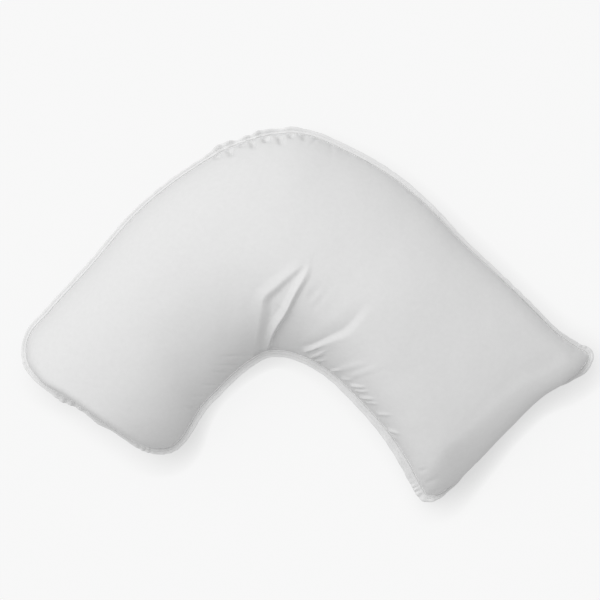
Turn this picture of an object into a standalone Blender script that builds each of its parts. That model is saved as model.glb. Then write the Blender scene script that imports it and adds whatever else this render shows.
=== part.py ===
"""Side sleeper pillow: a V-shaped filled bed pillow, lying flat on its back.

Metres, +Z up. The pillow rests on the plane z = 0 with its origin under the middle of its
outline. +X runs along its length and +Y points out of its bend. Two pieces: the filled cover,
whose two panels meet at a seam, and the narrow flat edge that is sewn into that seam all round.
"""
from collections import namedtuple
import math

import bmesh
import bpy
import numpy as np

# Cover and edge, in metres
PANEL_ROWS = 30             # rows of faces from the outer seam to the inner one
ROW_CROWDING = 0.8          # 0 is even rows, 1 crowds them at the two seams
END_SECTIONS = 5.0          # sections over which an end's curve dies out
LEFT_STEEPNESS = 0.42       # lower falls more steeply at the very end
RIGHT_STEEPNESS = 0.52
CREST_BLEND = 0.6           # part of the width over which the outer flank turns into the inner
REST_BLEND = 0.009          # softness of the bend where the cover meets the surface
EDGE_THICKNESS = 0.0022     # two layers of cloth, turned in and stitched flat
EDGE_GAP = 0.0004           # from the seam to the sewn edge
PLEAT_START = 0.006         # pleats die out over this distance from the seam
PLEAT_FALL = 0.012          # a pleat's steep side, in plan
PLEAT_CLIMB = 1.6           # 1 is a straight climb to the crest, more is a sharper crest
MIDDLE = (0.00248, -0.00064)    # middle of the outline's box in the tables below

# Each cross section: its seam points on the outer and inner side, the height of its seam, and
# how many columns of faces follow it.
Section = namedtuple("Section", "outer_x outer_y inner_x inner_y seam columns")
SECTIONS = (
    Section(-0.374, -0.047, -0.197, -0.179, 0.026, 4),
    Section(-0.370, -0.030, -0.181, -0.176, 0.030, 3),
    Section(-0.343, 0.002, -0.168, -0.165, 0.038, 5),
    Section(-0.287, 0.062, -0.156, -0.147, 0.048, 6),
    Section(-0.221, 0.137, -0.139, -0.120, 0.053, 6),
    Section(-0.155, 0.189, -0.119, -0.099, 0.055, 7),
    Section(-0.082, 0.228, -0.098, -0.078, 0.055, 11),
    Section(-0.009, 0.239, -0.075, -0.060, 0.055, 12),
    Section(0.059, 0.213, -0.054, -0.049, 0.055, 10),
    Section(0.117, 0.179, -0.030, -0.048, 0.055, 8),
    Section(0.164, 0.139, -0.005, -0.055, 0.055, 7),
    Section(0.206, 0.095, 0.029, -0.074, 0.054, 6),
    Section(0.250, 0.054, 0.067, -0.109, 0.053, 6),
    Section(0.297, 0.009, 0.107, -0.153, 0.049, 5),
    Section(0.333, -0.023, 0.135, -0.194, 0.041, 4),
    Section(0.363, -0.042, 0.152, -0.226, 0.029, 4),
    Section(0.377, -0.052, 0.163, -0.242, 0.022, 0),
)

# The crown's form from place to place, a place being a section's number: its height over the
# seam, how far its crest lies toward the inner side as a share of half the width, how flat it
# is on top (2 is an ellipse), and how it leaves the outer and inner seam (lower is steeper).
Form = namedtuple("Form", "place crown crest flatness outer inner")
FORMS = (
    Form(0.0, 0.062, -0.06, 2.00, 0.56, 0.64),
    Form(1.5, 0.067, -0.10, 2.00, 0.58, 0.66),
    Form(3.0, 0.075, -0.12, 2.00, 0.60, 0.68),
    Form(5.0, 0.086, -0.06, 1.95, 0.56, 0.72),
    Form(7.5, 0.099, 0.13, 1.80, 0.52, 0.82),
    Form(9.5, 0.098, 0.18, 1.90, 0.50, 0.82),
    Form(11.0, 0.097, 0.22, 2.20, 0.47, 0.66),
    Form(13.0, 0.074, 0.26, 2.70, 0.45, 0.48),
    Form(14.5, 0.056, 0.24, 2.80, 0.45, 0.45),
    Form(16.0, 0.044, 0.20, 2.80, 0.45, 0.45),
)

# Length over which the crown falls to either end, from the outer side to the inner one
Fall = namedtuple("Fall", "place left right")
FALLS = (
    Fall(0.00, 0.030, 0.034),
    Fall(0.25, 0.015, 0.034),
    Fall(0.50, 0.015, 0.038),
    Fall(0.70, 0.019, 0.052),
    Fall(0.85, 0.032, 0.074),
    Fall(1.00, 0.040, 0.084),
)

# Seam points across each end, from the outer corner to the inner one
EndPoint = namedtuple("EndPoint", "x y seam")
LEFT_END = (
    EndPoint(-0.372, -0.063, 0.028),
    EndPoint(-0.351, -0.088, 0.034),
    EndPoint(-0.319, -0.106, 0.039),
    EndPoint(-0.281, -0.132, 0.040),
    EndPoint(-0.241, -0.159, 0.034),
    EndPoint(-0.214, -0.175, 0.028),
)
RIGHT_END = (
    EndPoint(0.374, -0.064, 0.026),
    EndPoint(0.348, -0.085, 0.030),
    EndPoint(0.312, -0.102, 0.034),
    EndPoint(0.261, -0.143, 0.037),
    EndPoint(0.215, -0.193, 0.034),
    EndPoint(0.191, -0.223, 0.028),
    EndPoint(0.176, -0.238, 0.023),
)

# The top panel bulges out over the seam at the right end and hides its edge.
BULGE_REACH = 0.022
BULGE_DEPTH = 0.010         # how far in from the seam the bulge is at its fullest

# Pleats of the top panel where it is bent. Walking along a pleat's crest, the panel rises to it
# on the left over "before", falls on the right over PLEAT_FALL, and comes back over "after".
# Rise and drop are heights over and under the plain panel.
PleatPoint = namedtuple("PleatPoint", "x y rise drop before after")
PLEATS = {
    "upper pleat": (
        PleatPoint(-0.0680, -0.0466, 0.0000, 0.0020, 0.012, 0.040),
        PleatPoint(-0.0655, -0.0264, 0.0002, 0.0045, 0.014, 0.045),
        PleatPoint(-0.0624, -0.0067, 0.0003, 0.0050, 0.015, 0.045),
        PleatPoint(-0.0594, 0.0066, 0.0006, 0.0050, 0.016, 0.040),
        PleatPoint(-0.0566, 0.0212, 0.0022, 0.0042, 0.015, 0.035),
        PleatPoint(-0.0382, 0.0388, 0.0032, 0.0028, 0.014, 0.030),
        PleatPoint(-0.0158, 0.0572, 0.0022, 0.0010, 0.012, 0.024),
        PleatPoint(-0.0030, 0.0660, 0.0000, 0.0000, 0.012, 0.020),
    ),
    "main pleat": (
        PleatPoint(-0.0529, -0.0482, 0.0012, 0.0024, 0.006, 0.030),
        PleatPoint(-0.0488, -0.0344, 0.0026, 0.0050, 0.007, 0.040),
        PleatPoint(-0.0454, -0.0251, 0.0036, 0.0052, 0.008, 0.045),
        PleatPoint(-0.0415, -0.0162, 0.0044, 0.0048, 0.009, 0.050),
        PleatPoint(-0.0353, -0.0060, 0.0050, 0.0036, 0.009, 0.050),
        PleatPoint(-0.0296, 0.0024, 0.0054, 0.0026, 0.010, 0.050),
        PleatPoint(-0.0152, 0.0296, 0.0048, 0.0014, 0.011, 0.045),
        PleatPoint(-0.0023, 0.0521, 0.0020, 0.0012, 0.007, 0.035),
        PleatPoint(0.0034, 0.0656, 0.0000, 0.0003, 0.006, 0.030),
    ),
    "long pleat": (
        PleatPoint(0.0892, 0.0147, 0.0000, 0.0000, 0.012, 0.020),
        PleatPoint(0.0788, 0.0000, 0.0002, 0.0012, 0.015, 0.022),
        PleatPoint(0.0683, -0.0134, 0.0004, 0.0026, 0.018, 0.024),
        PleatPoint(0.0529, -0.0286, 0.0004, 0.0034, 0.018, 0.024),
        PleatPoint(0.0355, -0.0346, 0.0010, 0.0030, 0.014, 0.024),
        PleatPoint(0.0189, -0.0402, 0.0018, 0.0022, 0.010, 0.016),
        PleatPoint(-0.0020, -0.0452, 0.0012, 0.0014, 0.006, 0.008),
        PleatPoint(-0.0100, -0.0468, 0.0000, 0.0000, 0.006, 0.008),
    ),
}

# Width of the sewn edge and how far it droops, in degrees, from place to place. A place on a
# side is a section's number, and on an end it is the share of the way across.
EdgeStation = namedtuple("EdgeStation", "side place width droop")
EDGE_STATIONS = (
    EdgeStation("outer", 0.0, 0.0068, 15),
    EdgeStation("outer", 3.0, 0.0075, 12),
    EdgeStation("outer", 4.4, 0.0062, 10),
    EdgeStation("outer", 5.2, 0.0062, 8),
    EdgeStation("outer", 6.5, 0.0072, 5),
    EdgeStation("outer", 8.0, 0.0078, 5),
    EdgeStation("outer", 11.0, 0.0066, 12),
    EdgeStation("outer", 14.0, 0.0062, 12),
    EdgeStation("outer", 15.3, 0.0080, 10),
    EdgeStation("right", 0.08, 0.0100, 12),
    EdgeStation("right", 0.25, 0.0080, 45),
    EdgeStation("right", 0.50, 0.0080, 60),
    EdgeStation("right", 0.78, 0.0080, 55),
    EdgeStation("right", 0.92, 0.0060, 40),
    EdgeStation("inner", 16.0, 0.0075, 14),
    EdgeStation("inner", 15.4, 0.0105, 14),
    EdgeStation("inner", 14.0, 0.0110, 12),
    EdgeStation("inner", 12.0, 0.0080, 10),
    EdgeStation("inner", 9.0, 0.0082, 8),
    EdgeStation("inner", 6.0, 0.0088, 8),
    EdgeStation("inner", 2.0, 0.0080, 15),
    EdgeStation("left", 0.90, 0.0075, 15),
    EdgeStation("left", 0.70, 0.0062, 15),
    EdgeStation("left", 0.40, 0.0082, 10),
    EdgeStation("left", 0.15, 0.0078, 12),
)

# Scallops where the edge is puckered: middle, half length, extra width, lift
Scallop = namedtuple("Scallop", "side place half_length width lift")
SCALLOPS = (
    Scallop("outer", 5.62, 0.026, 0.0040, 0.003),
    Scallop("outer", 6.32, 0.019, 0.0030, 0.004),
    Scallop("outer", 6.85, 0.018, 0.0015, 0.002),
    Scallop("left", 0.36, 0.026, 0.0040, 0.004),
    Scallop("left", 0.62, 0.020, 0.0025, 0.002),
)

COTTON = (0.72, 0.72, 0.72, 1.0)
EDGE_COTTON = (0.75, 0.75, 0.75, 1.0)


def smoothstep(value):
    """Ease from 0 to 1."""
    share = np.clip(value, 0.0, 1.0)
    return share * share * (3.0 - 2.0 * share)


def read_curve(points, places, closed):
    """Read a smooth curve through the points at the given places, 0 being the first point."""
    points = np.asarray(points, dtype=float)
    count = len(points)
    if closed:
        step = np.roll(points, -1, axis=0) - points
    else:
        step = np.vstack((points[1:] - points[:-1], points[-1:] - points[-2:-1]))
    reach = np.linalg.norm(step[:, :2], axis=1)
    slope = step / reach[:, None]
    reach_before = np.roll(reach, 1)
    slope_before = np.roll(slope, 1, axis=0)
    if not closed:
        slope_before[0] = slope[0]
    total = (reach + reach_before)[:, None]
    tangent = (slope * reach_before[:, None] + slope_before * reach[:, None]) / total

    places = np.asarray(places, dtype=float)
    first = np.floor(places).astype(int)
    if not closed:
        first = np.clip(first, 0, count - 2)
    share = (places - first)[:, None]
    first = first % count
    last = (first + 1) % count
    span = reach[first][:, None]
    return ((1 + 2 * share) * (1 - share) ** 2 * points[first]
            + share * (1 - share) ** 2 * span * tangent[first]
            + share ** 2 * (3 - 2 * share) * points[last]
            - share ** 2 * (1 - share) * span * tangent[last])


def column_places():
    """Section numbers of the columns, closer together at the two ends."""
    places = []
    final = len(SECTIONS) - 2
    for number, section in enumerate(SECTIONS[:-1]):
        for step in range(section.columns):
            share = step / section.columns
            if number == 0:
                share = 1.0 - math.cos(0.5 * math.pi * share)
            elif number == final:
                share = math.sin(0.5 * math.pi * share)
            places.append(number + share)
    places.append(len(SECTIONS) - 1.0)
    return np.array(places)


def row_shares():
    """Shares of the way across, closer together at the two seams."""
    even = np.linspace(0.0, 1.0, PANEL_ROWS + 1)
    return even - ROW_CROWDING * np.sin(2.0 * math.pi * even) / (2.0 * math.pi)


def seam_loop():
    """All seam points in one loop: outer side, right end, inner side, left end."""
    outer = [(row.outer_x, row.outer_y, row.seam) for row in SECTIONS]
    inner = [(row.inner_x, row.inner_y, row.seam) for row in reversed(SECTIONS)]
    right = [(point.x, point.y, point.seam) for point in RIGHT_END]
    left = [(point.x, point.y, point.seam) for point in reversed(LEFT_END)]
    loop = np.array(outer + right + inner + left)
    loop[:, 0] -= MIDDLE[0]
    loop[:, 1] -= MIDDLE[1]
    return loop


def end_places(loop, first, last, shares):
    """Places between two numbers of the loop, at even shares of the length between them."""
    numbers = np.arange(first, last + 1)
    stretch = loop[numbers % len(loop), :2]
    reach = np.concatenate(([0.0], np.cumsum(np.linalg.norm(np.diff(stretch, axis=0), axis=1))))
    return np.interp(shares * reach[-1], reach, numbers)


def seam_surface():
    """A smooth sheet spanned by the whole seam, as columns and rows of points."""
    loop = seam_loop()
    columns = column_places()
    rows = row_shares()
    last = len(SECTIONS) - 1
    inner_start = last + len(RIGHT_END) + 1
    left_start = inner_start + last
    outer = read_curve(loop, columns, True)
    inner = read_curve(loop, inner_start + last - columns, True)
    right = read_curve(loop, end_places(loop, last, inner_start, rows), True)
    left_places = end_places(loop, left_start, len(loop), 1.0 - rows)
    left = read_curve(loop, left_places, True)

    across = rows[None, :, None]
    ruled = (1 - across) * outer[:, None] + across * inner[:, None]
    near_left = (1 - smoothstep(columns / END_SECTIONS))[:, None, None]
    near_right = (1 - smoothstep((last - columns) / END_SECTIONS))[:, None, None]
    return (ruled + near_left * (left - ruled[0])[None]
            + near_right * (right - ruled[-1])[None])


def lengths_along(sheet, axis):
    """Distance of every point from the sheet's first column or row."""
    steps = np.linalg.norm(np.diff(sheet[..., :2], axis=axis), axis=2)
    total = np.cumsum(steps, axis=axis)
    start = np.zeros_like(np.take(total, [0], axis=axis))
    return np.concatenate((start, total), axis=axis)


def nearest_on_line(line, x, y):
    """For each place in plan, how far it lies to the right of a line, and where along it."""
    places = np.linspace(0.0, len(line) - 1.0, 6 * len(line))
    points = read_curve(line, places, False)
    nearest = np.full(x.shape, np.inf)
    side = np.zeros(x.shape)
    along = np.zeros(x.shape)
    for number in range(len(points) - 1):
        start = points[number]
        run = points[number + 1] - start
        length = np.hypot(run[0], run[1])
        share = ((x - start[0]) * run[0] + (y - start[1]) * run[1]) / length ** 2
        share = np.clip(share, 0.0, 1.0)
        off_x = x - start[0] - share * run[0]
        off_y = y - start[1] - share * run[1]
        distance = np.hypot(off_x, off_y)
        closer = distance < nearest
        nearest = np.where(closer, distance, nearest)
        side = np.where(closer, np.sign(run[1] * off_x - run[0] * off_y), side)
        along = np.where(closer, places[number] + share * (places[number + 1] - places[number]),
                         along)
    return nearest * side, along


def pleat_relief(pleat, x, y):
    """Height that one pleat adds at each place in plan."""
    line = np.array([(point.x - MIDDLE[0], point.y - MIDDLE[1]) for point in pleat])
    place, along = nearest_on_line(line, x, y)
    rise, drop, before, after = [
        np.interp(along, np.arange(len(pleat)), [getattr(point, name) for point in pleat])
        for name in PleatPoint._fields[2:]]
    climb = rise * np.clip(1.0 + place / before, 0.0, 1.0) ** PLEAT_CLIMB
    down = rise - (rise + drop) * smoothstep(place / PLEAT_FALL)
    back = -drop * np.clip(1.0 - (place - PLEAT_FALL) / after, 0.0, 1.0) ** 2
    return np.where(place < 0.0, climb, np.where(place < PLEAT_FALL, down, back))


def panel_normals(panel):
    """Unit normals of a sheet of points, pointing up."""
    ahead = np.gradient(panel, axis=0)
    across = np.gradient(panel, axis=1)
    normals = np.cross(across, ahead)
    return normals / np.linalg.norm(normals, axis=2, keepdims=True)


def table_values(table, name, places):
    """A column of a table at the given places, on a smooth curve."""
    stations = [row.place for row in table]
    points = np.array([(row.place, getattr(row, name)) for row in table], dtype=float)
    numbers = np.interp(places, stations, np.arange(len(table)))
    return read_curve(points, numbers, False)[:, 1]


def crown_swell(sheet, columns, rows):
    """Height of the crown over the seam's sheet."""
    crown, crest, flatness, outer, inner = [
        table_values(FORMS, name, columns)[:, None] for name in Form._fields[1:]]
    across = 2.0 * rows[None, :] - 1.0
    across = np.clip(across - crest * (1.0 - across ** 2), -1.0, 1.0)
    steepness = outer + (inner - outer) * smoothstep(across / CREST_BLEND + 0.5)
    arch = (1.0 - np.abs(across) ** flatness) ** steepness

    from_left = lengths_along(sheet, 0)
    from_right = from_left[-1] - from_left
    left_length = table_values(FALLS, "left", rows)[None, :]
    right_length = table_values(FALLS, "right", rows)[None, :]
    left_fall = 1.0 - np.clip(from_left / left_length, 0.0, 1.0)
    right_fall = 1.0 - np.clip(from_right / right_length, 0.0, 1.0)
    fall = ((1.0 - left_fall ** 2) ** LEFT_STEEPNESS
            * (1.0 - right_fall ** 2) ** RIGHT_STEEPNESS)
    return crown * arch * fall


def cover_panels():
    """The top and bottom panels, as columns and rows of points that share their rim."""
    sheet = seam_surface()
    columns = column_places()
    rows = row_shares()
    from_left = lengths_along(sheet, 0)
    from_right = from_left[-1] - from_left
    from_outer = lengths_along(sheet, 1)
    from_inner = from_outer[:, -1:] - from_outer

    swell = crown_swell(sheet, columns, rows)

    top = sheet.copy()
    top[..., 2] += swell
    bottom = sheet.copy()
    bottom[..., 2] -= swell
    height = bottom[..., 2]
    settled = np.where(height < -REST_BLEND, 0.0, (height + REST_BLEND) ** 2 / (4 * REST_BLEND))
    bottom[..., 2] = np.where(height > REST_BLEND, height, settled)

    depth = from_right / BULGE_DEPTH
    bulge = BULGE_REACH * depth * np.exp(1.0 - depth) * np.sin(math.pi * rows)[None, :] ** 0.6
    run = sheet[-1] - sheet[-3]
    run[0] = run[1]
    run[-1] = run[-2]
    outward = run[:, :2] / np.linalg.norm(run[:, :2], axis=1, keepdims=True)
    top[..., :2] += bulge[..., None] * outward[None]

    relief = np.zeros(swell.shape)
    for pleat in PLEATS.values():
        relief += pleat_relief(pleat, top[..., 0], top[..., 1])
    seam_distance = np.minimum(np.minimum(from_left, from_right),
                               np.minimum(from_outer, from_inner))
    relief *= smoothstep(seam_distance / PLEAT_START)
    top += relief[..., None] * panel_normals(top)
    return top, bottom


def add_sheet(bm, panel):
    """Add a grid of faces and set its points to the panel's columns and rows."""
    columns = panel.shape[0] - 1
    rows = panel.shape[1] - 1
    made = bmesh.ops.create_grid(bm, x_segments=columns, y_segments=rows, size=1.0)
    for vert in made["verts"]:
        column = round((vert.co.x + 1.0) / 2.0 * columns)
        row = round((vert.co.y + 1.0) / 2.0 * rows)
        vert.co = panel[column, row]
    return made["verts"]


def cotton(name, color, roughness):
    """Matt woven cotton."""
    material = bpy.data.materials.new(name)
    material.use_nodes = True
    shader = material.node_tree.nodes["Principled BSDF"]
    shader.inputs["Base Color"].default_value = color
    shader.inputs["Roughness"].default_value = roughness
    shader.inputs["Metallic"].default_value = 0.0
    return material


def mesh_object(name, bm, material, collection):
    """Turn a bmesh into a named object with its material."""
    mesh = bpy.data.meshes.new(name)
    bm.to_mesh(mesh)
    bm.free()
    mesh.shade_smooth()
    mesh.materials.append(material)
    piece = bpy.data.objects.new(name, mesh)
    collection.objects.link(piece)
    return piece


def make_pillow(top, bottom, collection):
    """The filled cover: two panels welded at their seam, flat where it rests."""
    bm = bmesh.new()
    add_sheet(bm, top)
    add_sheet(bm, bottom)
    bmesh.ops.remove_doubles(bm, verts=bm.verts, dist=1e-6)
    resting = [face for face in bm.faces if all(vert.co.z < 1e-7 for vert in face.verts)]
    bmesh.ops.dissolve_faces(bm, faces=resting)
    bmesh.ops.recalc_face_normals(bm, faces=bm.faces)
    return mesh_object("pillow", bm, cotton("cover_cotton", COTTON, 0.85), collection)


def rim_points(sheet):
    """The seam's points in order, once round."""
    return np.vstack((sheet[:-1, 0], sheet[-1, :-1], sheet[:0:-1, -1], sheet[0, :0:-1]))


def rim_place(side, place, columns, rows):
    """Number of the seam point, counted as rim_points does, at a place on one side."""
    last_column = len(columns) - 1
    last_row = len(rows) - 1
    if side == "outer":
        return np.interp(place, columns, np.arange(len(columns)))
    if side == "right":
        return last_column + np.interp(place, rows, np.arange(len(rows)))
    if side == "inner":
        return 2 * last_column + last_row - np.interp(place, columns, np.arange(len(columns)))
    return 2 * last_column + 2 * last_row - np.interp(place, rows, np.arange(len(rows)))


def edge_profile(seam, columns, rows):
    """Width, droop and lift of the sewn edge at every seam point."""
    reach = np.linalg.norm(np.roll(seam, -1, axis=0) - seam, axis=1)
    around = np.concatenate(([0.0], np.cumsum(reach)))
    length = around[-1]
    numbers = np.arange(len(around))
    stations = sorted(
        (np.interp(rim_place(row.side, row.place, columns, rows), numbers, around),
         row.width, row.droop) for row in EDGE_STATIONS)
    places, widths, droops = zip(*stations)
    width = np.interp(around[:-1], places, widths, period=length)
    droop = np.radians(np.interp(around[:-1], places, droops, period=length))
    lift = np.zeros(len(seam))
    for row in SCALLOPS:
        middle = np.interp(rim_place(row.side, row.place, columns, rows), numbers, around)
        apart = np.abs(around[:-1] - middle)
        apart = np.minimum(apart, length - apart)
        rise = np.cos(0.5 * math.pi * np.clip(apart / row.half_length, 0.0, 1.0)) ** 2
        width += row.width * rise
        lift += row.lift * rise
    return width, droop, lift


def make_edge(sheet, collection):
    """The flat sewn edge: a ribbon along the whole seam, thickened to its two layers."""
    seam = rim_points(sheet)
    width, droop, lift = edge_profile(seam, column_places(), row_shares())
    tangent = np.roll(seam, -1, axis=0) - np.roll(seam, 1, axis=0)
    outward = np.stack((-tangent[:, 1], tangent[:, 0], np.zeros(len(seam))), axis=1)
    outward /= np.linalg.norm(outward, axis=1, keepdims=True)
    start = EDGE_GAP + 0.5 * EDGE_THICKNESS * np.abs(np.sin(droop))
    inner = seam + outward * start[:, None]
    outer = inner + outward * (width * np.cos(droop))[:, None]
    outer[:, 2] += lift - width * np.sin(droop)
    ribbon = np.stack((inner, outer), axis=1)
    ribbon = np.concatenate((ribbon, ribbon[:1]), axis=0)

    bm = bmesh.new()
    add_sheet(bm, ribbon)
    bmesh.ops.remove_doubles(bm, verts=bm.verts, dist=1e-6)
    bmesh.ops.recalc_face_normals(bm, faces=bm.faces)
    edge = mesh_object("edge_flange", bm, cotton("edge_cotton", EDGE_COTTON, 0.85), collection)
    layers = edge.modifiers.new("layers", "SOLIDIFY")
    layers.thickness = EDGE_THICKNESS
    layers.offset = 0.0
    return edge


def main():
    """Clear the scene and make the pillow."""
    for leftover in list(bpy.data.objects):
        bpy.data.objects.remove(leftover, do_unlink=True)
    collection = bpy.data.collections.new("side_sleeper_pillow")
    bpy.context.scene.collection.children.link(collection)
    top, bottom = cover_panels()
    make_pillow(top, bottom, collection)
    make_edge(seam_surface(), collection)


main()
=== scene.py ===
"""Side sleeper pillow, dressed: its cotton cover with folds and gathers, its sewn edge with a row
of stitches on either face, and a plain pale stage seen from straight above.

Metres, +Z up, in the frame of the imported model.
"""
from collections import namedtuple
import math

import bpy
import numpy as np
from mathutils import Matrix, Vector, noise


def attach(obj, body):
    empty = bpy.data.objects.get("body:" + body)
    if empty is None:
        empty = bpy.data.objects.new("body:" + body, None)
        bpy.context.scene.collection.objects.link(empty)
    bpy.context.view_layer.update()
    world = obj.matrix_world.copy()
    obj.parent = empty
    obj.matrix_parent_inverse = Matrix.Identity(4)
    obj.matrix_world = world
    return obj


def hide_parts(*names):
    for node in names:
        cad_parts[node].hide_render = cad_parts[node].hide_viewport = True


bl_info = {
    "name": "Side sleeper pillow",
    "version": (1, 0, 0),
    "blender": (4, 5, 0),
    "location": "View3D > Sidebar > Pillow",
    "description": "Makes a V-shaped filled bed pillow with gathers and a stitched flat edge",
    "category": "Object",
}

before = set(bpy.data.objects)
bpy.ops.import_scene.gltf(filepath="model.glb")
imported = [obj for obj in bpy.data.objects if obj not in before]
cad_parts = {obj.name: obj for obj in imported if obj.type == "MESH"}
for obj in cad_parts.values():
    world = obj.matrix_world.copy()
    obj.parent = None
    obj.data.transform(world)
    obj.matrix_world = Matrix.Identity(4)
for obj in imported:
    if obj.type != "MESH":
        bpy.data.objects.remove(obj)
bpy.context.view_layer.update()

TINY = 1e-12                    # keeps a length that is divided by from being zero

# The outline
MIDDLE = (0.00248, -0.00064)    # middle of the outline's box in the tables below
END_SECTIONS = 5.0              # sections over which an end's curve dies out
ROW_CROWDING = 0.8              # how strongly rows of faces crowd to the seams, up to 1

# Each cross section: its seam points on the outer and inner side, the height of its seam, and
# how many columns of faces follow it at detail 1.
Section = namedtuple("Section", "outer_x outer_y inner_x inner_y seam columns")
SECTIONS = (
    Section(-0.374, -0.047, -0.197, -0.179, 0.026, 8),
    Section(-0.370, -0.030, -0.181, -0.176, 0.030, 10),
    Section(-0.343, 0.002, -0.168, -0.165, 0.038, 14),
    Section(-0.287, 0.062, -0.156, -0.147, 0.048, 18),
    Section(-0.221, 0.137, -0.139, -0.120, 0.053, 20),
    Section(-0.155, 0.189, -0.119, -0.099, 0.055, 28),
    Section(-0.082, 0.228, -0.098, -0.078, 0.055, 40),
    Section(-0.009, 0.239, -0.075, -0.060, 0.055, 44),
    Section(0.059, 0.213, -0.054, -0.049, 0.055, 36),
    Section(0.117, 0.179, -0.030, -0.048, 0.055, 30),
    Section(0.164, 0.139, -0.005, -0.055, 0.055, 30),
    Section(0.206, 0.095, 0.029, -0.074, 0.054, 32),
    Section(0.250, 0.054, 0.067, -0.109, 0.053, 30),
    Section(0.297, 0.009, 0.107, -0.153, 0.049, 24),
    Section(0.332, -0.025, 0.135, -0.194, 0.041, 18),
    Section(0.361, -0.045, 0.152, -0.226, 0.029, 14),
    Section(0.377, -0.055, 0.163, -0.242, 0.022, 0),
)

# The crown's form from place to place, a place being a section's number: its height over the
# seam, how far its crest lies toward the inner side as a share of half the width, how flat it
# is on top (2 is an ellipse), and how it leaves the outer and inner seam (lower is steeper).
Form = namedtuple("Form", "place crown crest flatness outer inner")
FORMS = (
    Form(0.0, 0.062, 0.04, 2.50, 0.58, 0.62),
    Form(1.5, 0.067, 0.00, 2.40, 0.60, 0.64),
    Form(3.0, 0.075, -0.08, 2.15, 0.61, 0.67),
    Form(5.0, 0.086, -0.05, 1.95, 0.61, 0.72),
    Form(7.5, 0.100, 0.13, 1.85, 0.60, 0.77),
    Form(9.5, 0.100, 0.18, 1.95, 0.58, 0.76),
    Form(11.0, 0.097, 0.22, 2.20, 0.50, 0.66),
    Form(13.0, 0.072, 0.26, 2.60, 0.45, 0.44),
    Form(14.5, 0.056, 0.20, 2.50, 0.45, 0.35),
    Form(16.0, 0.048, 0.08, 2.40, 0.45, 0.30),
)

# How the crown falls to either end, from the outer side to the inner one: over what length, how
# steeply at the right end itself (lower is steeper), and how far it bulges out over the seam
# there and hides the edge.
Fall = namedtuple("Fall", "place left left_bulge right steepness right_bulge")
FALLS = (
    Fall(0.00, 0.024, 0.000, 0.030, 0.52, 0.000),
    Fall(0.25, 0.015, 0.006, 0.032, 0.56, 0.015),
    Fall(0.50, 0.014, 0.006, 0.036, 0.72, 0.018),
    Fall(0.70, 0.013, 0.005, 0.044, 0.84, 0.014),
    Fall(0.80, 0.013, 0.005, 0.050, 0.98, 0.011),
    Fall(0.90, 0.014, 0.003, 0.048, 0.84, 0.005),
    Fall(1.00, 0.026, 0.000, 0.050, 0.60, 0.000),
)
LEFT_STEEPNESS = 0.46
CREST_BLEND = 0.6               # share of half the width over which the two sides' forms blend
BULGE_DEPTH = 0.010             # how far in from the seam the bulge is at its fullest
BULGE_COLUMNS = 5               # columns from the seam that give the way out at an end

# Seam points across each end, from the outer corner to the inner one
EndPoint = namedtuple("EndPoint", "x y seam")
LEFT_END = (
    EndPoint(-0.372, -0.063, 0.028),
    EndPoint(-0.351, -0.088, 0.034),
    EndPoint(-0.319, -0.106, 0.039),
    EndPoint(-0.281, -0.132, 0.040),
    EndPoint(-0.241, -0.159, 0.034),
    EndPoint(-0.214, -0.175, 0.028),
)
RIGHT_END = (
    EndPoint(0.373, -0.065, 0.026),
    EndPoint(0.347, -0.084, 0.028),
    EndPoint(0.311, -0.100, 0.033),
    EndPoint(0.262, -0.145, 0.035),
    EndPoint(0.219, -0.198, 0.028),
    EndPoint(0.193, -0.228, 0.024),
    EndPoint(0.178, -0.240, 0.022),
)

# Soft lumps of the filling: how many to a metre, and their share of the lumps' height
Lump = namedtuple("Lump", "frequency share")
LUMPS = (
    Lump(7.0, 1.00),
    Lump(16.0, 0.45),
    Lump(34.0, 0.18),
)
TOP_LUMPS = 0.0                 # where the lumps of each panel are taken from
BOTTOM_LUMPS = 40.0

PLEAT_ROUND = 0.0009            # softness of a pleat's crest and trough
PLEAT_SHIFTS = (-1.0, -0.5, 0.0, 0.5, 1.0)    # places averaged for it, as shares of it
PLEAT_CLIMB = 1.6               # how a pleat climbs to its crest (higher is later)
PLEAT_STEPS = 6                 # steps of a pleat's line to each of its points
SEAM_FADE = 0.0035              # pleats and gathers die out over this distance from the seam

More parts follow.
